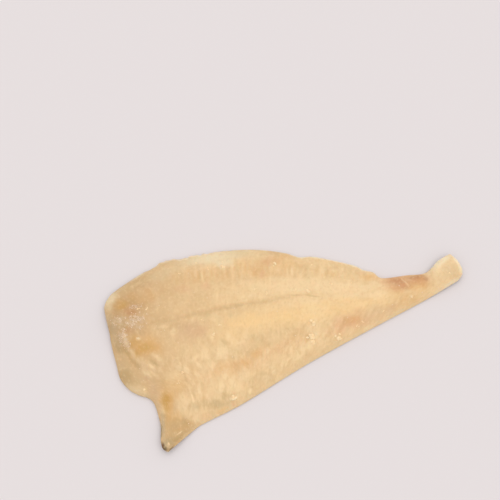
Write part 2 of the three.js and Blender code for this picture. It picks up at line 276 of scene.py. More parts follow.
# Patches of tint from head to tail: x, y, reach along and across the patch, turn in degrees, strength.
PATCHES = {
    "tan": [
        (-83, -49.5, 7, 4, 25, 0.6), (-78, 13, 9, 5, -12, 0.6), (-71, 11, 12, 6, -12, 0.5),
        (-40, 37, 30, 4, -4, 0.2), (4, 50, 9, 4, -22, 0.5), (34, 1.5, 8, 4, -12, 0.5),
        (66, -3, 9, 5, 0, 0.1), (76.5, 1.5, 8.5, 4.6, -6, 0.3), (112.7, 12.2, 5, 3.5, 78, 0.3),
    ],
    "yellow": [
        (-31, 5, 15, 7, -12, 0.9), (-25, 48.6, 3, 4, -12, 0.4), (24, 5, 10, 5, -12, 0.6),
        (36, 6.6, 12, 3.4, -10, 0.6), (104, 17, 3.4, 2.4, 78, 0.8),
    ],
    "grey": [
        (-110, 23, 5, 7, 0, 0.5), (-104, 47.5, 12, 4, 20, 0.6), (-92, 52, 10, 4, 15, 0.5),
        (-73.5, -40, 5, 3.5, 0, 0.5), (-62, -14, 3, 2.5, 0, 0.3), (-61, -42, 11, 3.5, -9, 0.8),
        (-56.7, 16, 3.5, 1.6, 0, 0.6), (-54, -39.5, 6, 4, -12, 0.7), (-49.5, -5.3, 4, 3, 78, 0.5),
        (-39.6, 15, 15.5, 2.6, 1, 0.3), (-35, -31, 4, 3, 0, 0.4), (-28, -7.5, 9, 3.2, -12, 0.4),
        (-28, -28.7, 3, 2.5, 0, 0.4), (-24, 15.5, 8.4, 2, -4, 0.2), (7, 31.5, 3, 1.5, 78, 0.5),
        (15, 37, 6, 4, 0, 0.4), (16.5, 29.5, 4.5, 3.5, 78, 0.5), (52, 15.5, 9, 4, -12, 0.2),
        (54.5, -5, 6, 3, 78, 0.15),
    ],
    "pink": [
        (-93, 37, 7, 6, -12, 0.6), (-16, 41, 11, 6, -12, 0.8), (-14, 32, 9, 3.4, -12, 0.45),
        (-2, -9, 9, 3.6, 12, 0.4), (0.7, 39.2, 7, 5, -12, 0.4), (40, -7, 12, 5, 10, 0.5),
    ],
    "mauve": [
        (-100, -19, 7, 2.6, -67, 0.3), (-98, -27, 7, 4, 70, 0.6), (-97, -34, 6, 3, 80, 0.5),
        (-67, 6, 11, 8, -12, 0.5), (51, -7, 9, 4, 15, 0.35), (62, -4.4, 10, 3.6, 15, 0.45),
        (80, 13, 10, 4.5, -4, 0.3),
    ],
    "rose": [
        (-68.4, -48.9, 3.5, 2.3, 0, 0.3), (-67.8, 37.5, 6.5, 3, -12, 0.4), (-63, 6.4, 5, 5, 78, 0.25),
        (-51.8, 35.9, 3.5, 3, -12, 0.4), (-49.6, -44, 2.3, 1.8, 78, 0.6), (-13.7, 37.3, 3.8, 2.1, 78, 0.5),
        (35, -8, 12, 6, 10, 0.6),
    ],
    "bark": [
        (-115.6, 33, 2.6, 6, 0, 0.6), (-113, 28, 5, 5, 0, 0.5), (-105, 33, 10, 10, 0, 0.55),
        (-99, 47, 6, 4, 0, 0.4), (-98, 32, 5, 5, 0, 0.5),
    ],
    "dusk": [
        # The first two dusk patches are painted shade by the head's left edge, over the flap's darker tone.
        (-115.5, 12, 3.6, 7, 0, 0.9), (-113, 22, 6, 7, 0, 0.6), (-97.6, -32, 7, 2, 80, 0.3),
        (-75, -41, 4, 4, 0, 0.2), (-56, -43, 6, 2.6, -12, 0.25), (-27, -32, 5, 4, 0, 0.25),
    ],
    # The first ash patch is painted shade in a strip along the head's left edge.
    "ash": [(-118, 22, 2.4, 10, 4, 0.5), (-96, -50, 13, 1.6, 86, 0.7), (-95.4, -59, 4, 4.4, 0, 0.8)],
    "olive": [
        (-114.5, 6.6, 5, 3, -32, 0.5), (-113.9, -12.4, 5, 4.5, -12, 0.6), (-110.7, -17.8, 4.2, 3.8, 0, 0.3),
        # The first patch on the next line is painted shade at the foot of the flap's crest, on the side
        # turned from the light.
        (-109.4, 1.8, 12, 1.6, -64, 0.75), (-94.6, -8.4, 3.6, 1.2, -44, 0.45),
        (-92, -58.6, 4.6, 3, 25, 0.6), (-90.8, -20.9, 5.4, 2.6, 78, 0.2), (-88, -57.4, 8, 2, 29, 0.7),
        (-82.2, -47.8, 6, 2.6, -47, 0.3), (46, 28.8, 10, 3.8, -27, 0.15), (80.6, -2.4, 9, 3, 16, 0.15),
    ],
    "corner": [(-89, -41, 7, 3.4, 80, 0.6)],
    "orange": [
        (-98, 4, 11, 9.4, -12, 0.72), (-90.6, -40.9, 8, 2.4, 80, 0.6), (-88.4, -33, 6, 3, 78, 0.8),
        (-86, -45, 5, 4, 0, 0.4), (-85, -25, 8, 8, -12, 0.4), (-82.2, -51.6, 5.8, 3, 18, 0.2),
        (-57, -46.8, 3.5, 1.5, 13, 0.5), (-53, -22.7, 3.8, 2.8, 78, 0.4), (-50, -21.5, 14, 4, 8, 0.35),
        (-38, -19, 6, 3.6, 8, 0.45), (-29.6, -16.9, 4.3, 3, 8, 0.5), (4, 45, 8.4, 6, -12, 0.3),
        (33, 28.2, 3.5, 1.9, -12, 0.4), (38.8, -6.2, 5, 3, -12, 0.4), (57.7, 21, 5.6, 3, -22, 0.5),
        (64.5, -0.4, 6, 3, 10, 0.2), (72, 5, 6, 6, 0, 0.3), (79, -0.5, 13, 4.4, 10, 0.35),
        (83, 7.4, 5, 2.6, -10, 0.8), (87, 3.4, 5, 2.4, 10, 0.35), (88, 8.3, 7, 3.4, -12, 0.7),
        (92, 9, 6, 4, -10, 0.4),
    ],
    "mustard": [
        (-110, 36.6, 5, 4.6, -12, 0.7), (-105, 9.4, 4.4, 4, 0, 0.6), (-101.6, 39.8, 3, 3, 0, 0.3),
        (-100, 2.8, 6, 5, -12, 0.7), (-91.6, -33.4, 6.4, 3.6, 80, 1), (33.2, -6.5, 3.4, 2, 78, 0.25),
        (91, 12.6, 4, 2, -10, 0.5),
    ],
    "brown": [
        (-108, 17, 4, 2.6, 0, 0.5), (-104.4, 28, 3, 1.8, -12, 0.5), (-97.7, -11.7, 4.4, 0.7, -47, 0.4),
        (73, 17, 4, 1.6, -12, 0.5), (76, 14, 7, 4, -8, 0.5), (79, 8.4, 5, 2, -10, 0.35),
        (89, 15, 7, 2.2, -8, 0.75), (94.5, 12, 2.6, 1.7, -50, 0.6),
    ],
    "russet": [
        (-104, 30, 6, 6, 0, 0.3), (-6, 46, 8, 4.4, -12, 0.4), (36, -6, 9, 4.4, 0, 0.2),
        (76, 12.4, 12, 6.2, -6, 0.95), (90, 12, 8, 4.4, -10, 0.8),
    ],
    "cream": [
        (-110.3, 11, 6, 1.3, -82, 0.6), (-107.4, -21.1, 5, 2.6, -32, 0.35), (-107.2, 2.4, 5, 1.5, -60, 0.6),
        (-104, -4, 8, 2, -53, 0.5), (-103.3, -23.9, 2.6, 1.4, 78, 0.5), (-102.2, 10.1, 1.4, 1.2, 0, 0.7),
        (-100.4, -14, 4.4, 1.5, -54, 0.8), (-99, -12, 6, 4, -52, 0.5), (-96.8, -10.4, 3.2, 1.2, -44, 0.75),
        (-94.2, -38, 3, 1.2, 80, 0.25), (-94, -60, 1.4, 1, 78, 0.5), (-92.2, -5.4, 4.6, 1.5, -42, 0.65),
        (-86.4, -54.6, 2.4, 0.4, 23, 0.8), (-83.7, 14, 3.5, 1.8, -2, 0.5), (-83, -17, 5, 5, 0, 0.4),
        (-80.4, -37, 7, 4, 78, 0.55), (-78.6, 8.5, 4, 2, 78, 0.6), (-69.2, -33.6, 4.6, 2.4, 78, 0.5),
        (-67.7, -11.3, 3, 1, 33, 0.6), (-65, -20.7, 3.2, 1.3, 78, 0.5), (-62, -20, 5, 6, 0, 0.4),
        (-61.3, -32.2, 6.4, 4, 78, 0.4), (-60, -28, 6, 8, 0, 0.3), (-58, -18.4, 3.8, 1.3, 78, 0.5),
        (-57, -8.5, 5, 4, 0, 0.45), (-55, 0.4, 2.4, 1.5, 78, 0.7), (-54.7, -31.7, 5, 2, 70, 0.7),
        (-52, -27, 14, 7, -12, 0.3), (-51.4, -8.2, 3.6, 0.8, -12, 0.5), (-50.8, -40.5, 1.2, 1, 0, 0.8),
        (-49.5, -15, 3.2, 1.5, 78, 0.5), (-47, 51, 8, 4, -4, 0.4), (-46.6, 26.8, 4.6, 0.8, 78, 0.6),
        (-45.7, -31.6, 4.2, 3.4, -12, 0.5), (-45.5, -1.6, 3, 1.4, 78, 0.7), (-43, -16.2, 3.8, 1.5, 78, 0.5),
        (-42, -27, 5, 5, 0, 0.6), (-39.4, -7.3, 1.8, 1.1, -12, 0.6), (-38, -38.4, 2, 1.6, 0, 0.6),
        (-28.3, 54.2, 4.6, 2.8, -12, 0.35), (-18.5, -9.5, 5, 4, 0, 0.35), (-18, -21.4, 3.6, 2.8, -12, 0.35),
        (-7, -19.6, 3.8, 1.4, 78, 0.5), (0, 14, 6, 4, -8, 0.4), (1.4, -17.2, 3.8, 2, 78, 0.5),
        (6.9, -17, 3.2, 1.8, 78, 0.7), (10, 33, 8, 4, -16, 0.3), (11, 11, 10, 6, -10, 0.6),
        (13, -16, 5, 4, 0, 0.6), (14, -10, 6, 6, 0, 0.6), (15, 4, 8, 4, -10, 0.4),
        (20, 13, 10, 3, -12, 0.4), (40, 10, 16, 3, -8, 0.5), (40.5, 29.8, 3.2, 1.1, 53, 0.6),
        (57, 6.9, 8.4, 2.6, -10, 0.7), (80.3, 12.4, 4.6, 0.9, -75, 0.5), (80.9, 2, 1.2, 0.8, 0, 0.7),
        (99, 13, 4, 4, 0, 0.5), (103, 16.5, 4, 4, 0, 0.6), (108, 18, 8, 5, 30, 0.35),
    ],
    "rim": [(-79, 52, 13, 6, 8, 0.5), (-42, 53.5, 13, 4, -6, 0.7), (108, 13, 12, 6, 20, 0.4)],
    "white": [(-96, 55.6, 7, 1, 22, 0.5), (-38, 52, 8, 4.4, -8, 0.5), (102, 19, 4, 4, 0, 0.3)],
    "groove": [(4.5, 17.2, 6, 0.7, -12, 0.35), (15, 14.6, 6, 0.7, -21, 0.45)],
    "frost": [
        (-113.4, 24.5, 5, 4, -12, 0.6), (-113, 15, 5, 3, 78, 0.6), (-110.6, 12, 6.5, 2, -80, 0.7),
        (-102, 21, 5.4, 4, -12, 0.7), (-101.4, 32, 5, 2.6, -12, 0.35),
    ],
}

# A patch has faded out at this many times its reach, and fades over this many.
PATCH_END = 1.5
PATCH_FADE = 1.3

# Tint of the flap by the distance from its crest, and of the bare corner beside a line: x, y, slope.
FLAP_TINT = 0.75
FLAP_FADE = (-8, 0)
CORNER_TINT = 0.9
CORNER_TINT_LINE = (-88, -44.6, -0.5)
CORNER_FADE = (-1.5, 1.5)
CORNER_START_X = (-99, -94)

# Tint of the lateral-line groove, and of the ribs.
GROOVE_TINT = 0.4
GROOVE_TINT_ALONG = [
    (0, 0), (0.08, 0.15), (0.22, 0.65), (0.36, 1), (0.46, 0.5), (0.54, 0.1), (0.66, 0), (1, 0),
]
GROOVE_TINT_HALF_WIDTH = 2.4
GROOVE_STRAY = 0.2
RIB_TINT = 0.42

# Stripes of tint across the muscles, in bands: middle and half width across, from and to along.
STRIPE_COUNT = 42
STRIPE_BANDS = [(0.56, 0.46, 0.22, 0.76), (-0.54, 0.34, 0.46, 0.84)]
STRIPE_FADE = 0.16
STRIPE_TINT = 0.55
STRIPE_SWAY = 0.7
STRIPE_SWAY_CELL = 8
STRIPE_BREAK_CELL = 6
STRIPE_BREAK = (-0.5, 1)
# Tint of torn flakes that stand up or lie low.
CHIP_TINT = 1
DENT_TINT = 0.8

# How far the borders of the tints stray: cell of the waves and their reach.
STRAYS = [(9, 2), (4, 1), (1.8, 0.5)]
# Patches of a smaller reach across stray less.
FULL_STRAY_WIDTH = 5

# Colour variation under and over the tints: size, detail, stretch and shift of the noise, from and to
# in it, strength, colour.
MOTTLES = [
    (12, 4, 1.3, 0, 0.38, 0.66, 0.5, (230, 198, 148)),
    (5, 4, 1.5, 77, 0.45, 0.68, 0.4, (230, 190, 140)),
    (2.5, 4, 1.5, 33, 0.5, 0.7, 0.4, (248, 218, 170)),
]
SPECKLES = [
    (1.5, 2, 1.4, 55, 0.52, 0.7, 0.2, (250, 222, 176)),
    (1.8, 2, 1.4, 91, 0.52, 0.7, 0.18, (204, 166, 118)),
]
# Noise that breaks up the tints: its detail, and from and to in it.
BREAK_DETAIL = 2
BREAK_RANGE = (0.38, 0.62)

# Brown skin: mottling as above, then its scales and rust spots: size and shift of the cells, from and to in
# them, strength at each, colour.
SKIN_MOTTLES = [
    (9, 4, 1, 0, 0.4, 0.65, 0.6, (140, 122, 88)),
    (4, 4, 1, 12, 0.5, 0.7, 0.6, (62, 52, 38)),
]
SKIN_CELLS = [
    (1.5, 3, 0.35, 0.75, 0, 0.4, (72, 60, 42)),
    (17, 0, 0.1, 0.22, 0.7, 0, (146, 92, 54)),
]

# Roughness of the flesh: size and detail of the noise, from and to in it, roughness at each.
ROUGHNESS = (7, 4, 0.3, 0.7, 0.5, 0.68)
# Fine bumps of the fibres and the frozen grain: size, stretch, depth, strength.
FINE_BUMPS = [(1.8, 3, 0.2, 0.3), (0.6, 1, 0.12, 0.4)]
FINE_BUMP_DETAIL = 3
FLESH_FINISH = {
    "Subsurface Weight": 0.25,
    "Subsurface Radius": (1, 0.6, 0.35),
    "Subsurface Scale": 2 * MM,
    "Specular IOR Level": 0.35,
    "IOR": 1.38,
}

# Frost crystals, most of them small and in clumps, with a few astray. Colours run from dull to bright.
CRYSTAL_COUNT = 1500
CRYSTAL_SIZE = (0.08, 0.5)
CRYSTAL_RARITY = 3
CRYSTAL_CLUMP = 1.7
CLUMP_EDGE = (-0.3, 0.6)
STRAY_CRYSTALS = 0.0015
FROST_COLOURS = [(232, 204, 170), (248, 226, 198)]
FLECK_COLOURS = [(255, 219, 168), (255, 231, 188)]
# Flecks of ice: x, y, reach. Each is a cluster of lumps, whose sizes are shares of the reach.
ICE_FLECKS = [
    (11.1, -5.1, 2.8), (7.3, -11.5, 2.5), (8.8, -13.4, 2.2), (7.9, -15.6, 2.4), (25.4, -16.1, 2.8),
    (-3.8, 43.4, 1.5), (20.8, 37.8, 0.7), (-39.1, 49, 2.2), (-48.8, 49, 0.7), (-56, 55.8, 0.8),
    (-68.7, 49.7, 0.7), (-94.2, 28.1, 1.2), (-99.4, 29.8, 0.9), (-102.6, 10, 0.9), (-21.4, 25.8, 0.8),
    (-14.4, 22.2, 1), (4.7, 20.5, 1.1), (12.1, 18.4, 1.9), (29.9, 20.2, 1.2), (43.5, 18.6, 0.7),
    (-49, 5.9, 1), (-54.3, 0.6, 1.5), (-59.3, 12.8, 0.8), (-78.1, -18.6, 1.1), (-81.1, -24.3, 0.9),
    (-103.2, -23.3, 0.9), (-49.5, -40.3, 2.4), (80.8, 1.4, 0.9), (59.5, -4.4, 0.8), (110.7, 12, 0.7),
    (43.7, -8.9, 0.8), (39.7, -10.9, 0.8), (-93.8, -59.8, 0.6),
]
FLECK_LUMPS = 6
FLECK_DEVIATIONS = 3
LUMP_SIZE = (0.4, 0.8)
FLECK_FLATNESS = 0.4
# Unevenness of a crystal or lump: range of its stretch and of the reach of its corners.
LUMP_STRETCH = (0.55, 1)
LUMP_JITTER = (0.8, 1.15)
# Grain of the ice: size of the noise, and from and to in it.
ICE_GRAIN = 2
ICE_GRAIN_RANGE = (0.35, 0.65)
ICE_FINISH = {"Roughness": 0.7, "Specular IOR Level": 0.2, "IOR": 1.31}

# Camera of the photograph: it looks down at the floor point under the middle of the picture.
CAMERA_TARGET = (-17.0, 60.4, 0)
CAMERA_AZIMUTH = -12
CAMERA_ELEVATION = 65
CAMERA_DISTANCE = 486
CAMERA_LENS = 50
CAMERA_SENSOR = 36
CAMERA_NEAR = 10

# Floor and soft studio light.
FLOOR_SIZE = 12000
FLOOR_COLOUR = (230, 223, 223)
FLOOR_FINISH = {"Roughness": 0.9, "Specular IOR Level": 0.1}
WORLD_COLOUR = (250, 249, 249)
WORLD_STRENGTH = 0.855
SUN_STRENGTH = 0.65
SUN_SOFTNESS = 120
SUN_AZIMUTH = 95
SUN_ELEVATION = 68

# Map from plan to picture for baked colours: the flesh in its upper half, the skin in its lower.
UV_SPAN = 262
UV_FLESH_MIDDLE = (0.5, 0.75)
UV_SKIN_MIDDLE = (0.5, 0.25)


def smoothstep(value, low, high):
    share = np.clip((value - low) / (high - low), 0, 1)
    return share * share * (3 - 2 * share)


def bell(offset):
    """Falls from 1 at the middle of a feature to 0 at its reach."""
    return smoothstep(1 - np.abs(offset), 0, 1)


def plateau(value, low, high, fade):
    """1 between two limits, fading to 0 across them."""
    rise = smoothstep(value, low - fade / 2, low + fade / 2)
    return rise * (1 - smoothstep(value, high - fade / 2, high + fade / 2))


def fish_band(across, along, low, high, fade, start, end, end_fade):
    """1 inside a band of the fillet, fading to 0 across its sides and its ends."""
    return plateau(across, low, high, fade) * plateau(along, start, end, end_fade)


def oval_distance(x, y, middle_x, middle_y, long, short, turn):
    """0 in the middle of a turned oval, 1 on its border."""
    cosine, sine = math.cos(math.radians(turn)), math.sin(math.radians(turn))
    dx, dy = x - middle_x, y - middle_y
    return np.hypot((dx * cosine + dy * sine) / long, (dy * cosine - dx * sine) / short)


def spot(distance):
    """1 in the middle of an oval and about a half on its border."""
    return smoothstep(PATCH_END - distance, 0, PATCH_FADE)


def cubic(start, end, leave, arrive, step):
    """Smooth way from one value to the next, with given slopes at both."""
    rise = end - start
    square = (3 * rise - 2 * leave - arrive) * step**2
    cube = (leave + arrive - 2 * rise) * step**3
    return start + leave * step + square + cube


def spline(points):
    """Dense points of the smooth curve through the given points, and the share of its length at each."""
    points = np.array(points, float)
    padded = np.vstack([points[:1], points, points[-1:]])
    step = np.linspace(0, 1, SPLINE_STEPS, endpoint=False)[:, None]
    pieces = []
    for before, start, end, after in zip(padded, padded[1:], padded[2:], padded[3:]):
        pieces.append(cubic(start, end, (end - before) / 2, (after - start) / 2, step))
    samples = np.vstack(pieces + [points[-1:]])
    lengths = np.cumsum(np.linalg.norm(np.diff(samples, axis=0), axis=1))
    return samples, np.concatenate([[0], lengths / lengths[-1]])


def point_at(arc, share):
    samples, shares = arc
    return np.stack([np.interp(share, shares, samples[:, axis]) for axis in (0, 1)], axis=-1)


def through(pairs, position):
    """A smooth function through (position, value) pairs."""
    places, values = np.array(pairs, float).T
    widths = np.diff(places)
    slopes = np.diff(values) / widths
    tangents = np.concatenate([slopes[:1], (slopes[1:] + slopes[:-1]) / 2, slopes[-1:]])
    piece = np.clip(np.searchsorted(places, position, side="right") - 1, 0, len(slopes) - 1)
    step = np.clip((position - places[piece]) / widths[piece], 0, 1)
    leave = tangents[piece] * widths[piece]
    arrive = tangents[piece + 1] * widths[piece]
    return cubic(values[piece], values[piece + 1], leave, arrive, step)


LINE_ARC = spline(LATERAL_LINE)
LINE_LENGTH = np.linalg.norm(np.diff(LINE_ARC[0], axis=0), axis=1).sum()


def side_arcs(edge, head, tail, lean):
    return {
        "edge": spline(edge),
        "head": spline([LATERAL_LINE[0], *head, edge[0]]),
        "tail": spline([LATERAL_LINE[-1], *tail, edge[-1]]),
        "lean": lean,
    }


BACK_SIDE = side_arcs(BACK_EDGE, HEAD_ABOVE_LINE, TAIL_ABOVE_LINE, BACK_LEAN)
BELLY_SIDE = side_arcs(BELLY_EDGE, HEAD_BELOW_LINE, TAIL_BELOW_LINE, BELLY_LEAN)


def edge_points(side, along):
    """Points of an edge, whose steps run ahead or behind by its lean."""
    return point_at(side["edge"], along + side["lean"] * along * (1 - along))


def half_width(across, along):
    """Distance from the lateral line to the edge on the side of each place."""
    line = point_at(LINE_ARC, along)
    back = np.linalg.norm(edge_points(BACK_SIDE, along) - line, axis=-1)
    belly = np.linalg.norm(edge_points(BELLY_SIDE, along) - line, axis=-1)
    return np.where(across < 0, belly, back)


def side_points(side, along, reach):
    """Plan points between the line and an edge, bowed towards the outline at both ends."""
    reach = reach[..., None]
    points = (1 - reach) * point_at(LINE_ARC, along) + reach * edge_points(side, along)
    for end, nearness in (("head", 1 - along), ("tail", along)):
        chord = (1 - reach) * side[end][0][0] + reach * side[end][0][-1]
        bow = point_at(side[end], reach[..., 0]) - chord
        points = points + bow * nearness[..., None] ** END_BOW_FADE
    return points


def fray_at(x):
    wave = sum(np.sin(2 * np.pi * x / pitch) for pitch in FRAY_PITCHES) / len(FRAY_PITCHES)
    rag = lattice_noise(x, np.zeros_like(x), FRAY_RAG_CELL, FRAY_SEED)
    return (FRAY_HEIGHT * wave + FRAY_RAG * rag) * bell((x - FRAY_CENTRE_X) / FRAY_REACH_X)


def plan_points(along, across):
    """Plan x and y. Along runs 0 to 1 from head to tail, across -1 to 1 from belly edge to back edge."""
    along, across = np.broadcast_arrays(np.asarray(along, float), np.asarray(across, float))
    reach = np.abs(across)
    back = side_points(BACK_SIDE, along, reach)
    back[..., 1] += fray_at(back[..., 0]) * reach**FRAY_DEPTH
    belly = side_points(BELLY_SIDE, along, reach)
    points = np.where((across < 0)[..., None], belly, back)
    return points[..., 0], points[..., 1]


def outline_tree():
    """Search tree over dense points of the outline."""
    share = np.linspace(0, 1, OUTLINE_STEPS)
    crosswise = 2 * share - 1
    edges = [plan_points(share, 1), plan_points(share, -1)]
    ends = [plan_points(0, crosswise), plan_points(1, crosswise)]
    points = np.concatenate([np.stack(side, axis=-1) for side in edges + ends])
    tree = KDTree(len(points))
    for number, (x, y) in enumerate(points):
        tree.insert((x, y, 0), number)
    tree.balance()
    return tree


def outline_distance(x, y):
    tree = outline_tree()
    distances = [tree.find((px, py, 0))[2] for px, py in zip(x.ravel(), y.ravel())]
    return np.array(distances).reshape(x.shape)


def shoulder(distance, width):
    """Quarter-round profile: 0 at the edge line, 1 from the given width inwards."""
    outside = 1 - np.minimum(distance / width, 1)
    return np.sqrt(1 - outside**2)


def lattice_noise(x, y, cell, seed):
    """Smooth noise from -1 to 1 with bumps of the given size."""
    values = np.random.default_rng(seed).uniform(-1, 1, (NOISE_CELLS, NOISE_CELLS))
    column = np.floor(x / cell).astype(int)
    row = np.floor(y / cell).astype(int)
    share_x = smoothstep(x / cell - column, 0, 1)
    share_y = smoothstep(y / cell - row, 0, 1)

    def between_columns(number):
        before = values[number % NOISE_CELLS, column % NOISE_CELLS]
        after = values[number % NOISE_CELLS, (column + 1) % NOISE_CELLS]
        return before * (1 - share_x) + after * share_x

    return between_columns(row) * (1 - share_y) + between_columns(row + 1) * share_y


def flake_plates(x, y, size, seed):
    """Plates of random height from -1 to 1, each falling to 0 at its border."""
    rng = np.random.default_rng(seed)
    values = rng.uniform(-1, 1, (NOISE_CELLS, NOISE_CELLS))
    middles = rng.random((NOISE_CELLS, NOISE_CELLS, 2))
    place_x, place_y = x / size[0], y / size[1]
    column, row = np.floor(place_x).astype(int), np.floor(place_y).astype(int)
    nearest = np.full(x.shape, np.inf)
    second = nearest
    plate = np.zeros_like(x)
    for i, j in itertools.product((-1, 0, 1), repeat=2):
        cell = (row + j) % NOISE_CELLS, (column + i) % NOISE_CELLS
        away_x = column + i + middles[cell][..., 0] - place_x
        away_y = row + j + middles[cell][..., 1] - place_y
        distance = np.hypot(away_x, away_y)
        closer = distance < nearest
        second = np.where(closer, nearest, np.minimum(second, distance))
        plate = np.where(closer, values[cell], plate)
        nearest = np.minimum(nearest, distance)
    return plate * smoothstep(second - nearest, 0, FLAKE_BORDER)


def flakes(along, across, x, y):
    """Torn flakes of the flesh, from about -1 in dents to 1 on chips."""
    stray_x, stray_y = strayed(x, y)
    lengthwise = along * LINE_LENGTH + stray_x - x
    outwards = across * half_width(across, along) + stray_y - y
    plates = [
        flake_plates(lengthwise, outwards, size, FLAKE_SEED + number)
        for number, size in enumerate(FLAKE_SIZES)
    ]
    strength = FLAKES_ELSEWHERE + (1 - FLAKES_ELSEWHERE) * fish_band(across, along, *FLAKE_BAND)
    return sum(plates) / len(plates) * strength


def rib_wave(along, across, x, y):
    """Uneven ribs from -1 to 1 inside their bands."""
    stretch = plateau(along, RIB_START + RIB_FADE / 2, RIB_END - RIB_FADE / 2, RIB_FADE)
    band = np.maximum.reduce([bell((across - middle) / half) for middle, half in RIB_BANDS])
    sway = RIB_SWAY * lattice_noise(x, y, RIB_SWAY_CELL, RIB_SWAY_SEED)
    breaks = lattice_noise(x, y, RIB_BREAK_CELL, RIB_BREAK_SEED)
    strength = RIB_MEAN_STRENGTH + (1 - RIB_MEAN_STRENGTH) * breaks
    return stretch * band * strength * np.cos(2 * np.pi * (RIB_COUNT * along + sway))


def stripe_wave(along, across, x, y):
    """Uneven stripes from -1 to 1 across the muscles."""
    bands = [
        bell((across - middle) / half) * plateau(along, start, end, STRIPE_FADE)
        for middle, half, start, end in STRIPE_BANDS
    ]
    sway = STRIPE_SWAY * lattice_noise(x, np.zeros_like(x), STRIPE_SWAY_CELL, STRIPE_SWAY_SEED)
    strength = smoothstep(lattice_noise(x, y, STRIPE_BREAK_CELL, STRIPE_BREAK_SEED), *STRIPE_BREAK)
    return sum(bands) * strength * np.cos(2 * np.pi * (STRIPE_COUNT * along + sway))


def thickness(along, across, x, y):
    """Height of the cut side above the skin side, away from the rim."""
    from_line = np.abs(across) * half_width(across, along)
    stalk = smoothstep(along, STALK_START, STALK_END)
    share = through(SHARE_ACROSS, across) * (1 - stalk) + (1 - (1 - STALK_EDGE_SHARE) * across**2) * stalk
    muscle = through(THICKNESS_ALONG, along) * share + RIB_HEIGHT * rib_wave(along, across, x, y)
    muscle = muscle - GROOVE_DEPTH * through(GROOVE_ALONG, along) * bell(from_line / GROOVE_HALF_WIDTH)
    flap = np.minimum(FLAP_THICKNESS, muscle)
    inside = smoothstep(from_crest(x, y), CREST_FOOT, CREST_TOP)
    inside = inside * smoothstep(from_corner(x, y), 0, CORNER_SLOPE)
    hollow = bell(oval_distance(x, y, *TAIL_HOLLOW))
    stub = smoothstep(x, STUB_START_X, STUB_START_X + STUB_STEP_LENGTH)
    return flap + (muscle - flap) * inside - TAIL_HOLLOW_DEPTH * hollow + STUB_STEP * stub


def from_crest(x, y):
    """How far a point lies on the body's side of the flap's crest."""
    return x - through(CREST_X_BY_Y, y)


def from_corner(x, y):
    """How far a point lies on the body's side of the bare corner."""
    return (x + y - CORNER_LINE_SUM) / math.sqrt(2)


def lift(x, y):
    """Height of the skin side above the table."""
    twist = 1 - TAIL_TWIST + TAIL_TWIST * smoothstep(y, *TAIL_TWIST_Y)
    height = TAIL_LIFT * twist * smoothstep(x, *TAIL_LIFT_X)
    for curl_x, curl_y, reach, rise in CURLS:
        height = height + rise * bell(np.hypot(x - curl_x, y - curl_y) / reach)
    return height


def crowded(count):
    """Steps from 0 to 1 that crowd at both ends."""
    share = np.linspace(0, 1, count + 1)
    return share - ROW_CROWDING * np.sin(2 * np.pi * share) / (2 * np.pi)


def rows_across(belly_count, back_count):
    return np.concatenate([-crowded(belly_count)[::-1], crowded(back_count)[1:]])


def columns_along():
    ends = np.array(END_STEPS) / COLUMNS
    return np.concatenate([ends, np.arange(1, COLUMNS) / COLUMNS, 1 - ends[::-1]])


def grid_faces(numbers, flip):
    """Two triangles for each cell of a grid of vertex numbers."""
    low, next_low = numbers[:-1, :-1], numbers[1:, :-1]
    high, next_high = numbers[:-1, 1:], numbers[1:, 1:]
    upward = (low, next_low, high, next_low, next_high, high)
    downward = (low, high, next_low, next_low, high, next_high)
    return np.stack(downward if flip else upward, axis=-1).reshape(-1, 3)


def strip_faces(outer, outer_shares, inner, inner_shares):
    """Triangles between two rows of vertices whose shares both run from 0 to 1."""
    faces = []
    i = j = 0
    while i + 1 < len(outer) or j + 1 < len(inner):
        inner_done = j + 1 == len(inner)
        if i + 1 < len(outer) and (inner_done or outer_shares[i + 1] <= inner_shares[j + 1]):
            faces.append((outer[i], outer[i + 1], inner[j]))
            i += 1
        else:
            faces.append((outer[i], inner[j + 1], inner[j]))
            j += 1
    return np.array(faces)


def border_rows(numbers, column_shares, row_shares):
    """The four border rows in turn: belly edge backwards, head, back edge, tail backwards."""
    crosswise = (row_shares + 1) / 2
    return [
        (numbers[::-1, 0], 1 - column_shares[::-1]),
        (numbers[0, :], crosswise),
        (numbers[:, -1], column_shares),
        (numbers[-1, ::-1], 1 - crosswise[::-1]),
    ]


def flesh_grid():
    """The cut side: plan, height and fish coordinates of every vertex."""
    along, across = np.meshgrid(columns_along(), rows_across(BELLY_ROWS, BACK_ROWS), indexing="ij")
    x, y = plan_points(along, across)
    rim = outline_distance(x, y)
    rim[[0, -1], :] = 0
    rim[:, [0, -1]] = 0
    torn = flakes(along, across, x, y)
    bumps = FLAKE_HEIGHT * torn
    for number, (cell, height) in enumerate(BUMPS):
        bumps = bumps + height * lattice_noise(x, y, cell, SEED + number)
    for *place, height in FOLDS:
        bumps = bumps + height * bell(oval_distance(x, y, *place))
    top = RIM_HEIGHT + (thickness(along, across, x, y) + bumps - RIM_HEIGHT) * shoulder(rim, SHOULDER)
    z = lift(x, y) + top
    return SimpleNamespace(along=along, across=across, x=x, y=y, z=z, rim=rim, flakes=torn)


def skin_grid():
    """The skin side, drawn in from the rim."""
    shares = np.linspace(0, 1, SKIN_COLUMNS + 1)
    row_shares = rows_across(SKIN_BELLY_ROWS, SKIN_BACK_ROWS)
    end_inset = SKIN_INSET / LINE_LENGTH
    along, share = np.meshgrid(end_inset + shares * (1 - 2 * end_inset), row_shares, indexing="ij")
    across = share * (1 - SKIN_INSET / half_width(share, along))
    x, y = plan_points(along, across)
    z = lift(x, y)
    return SimpleNamespace(along=along, across=across, x=x, y=y, z=z, shares=shares, rows=row_shares)


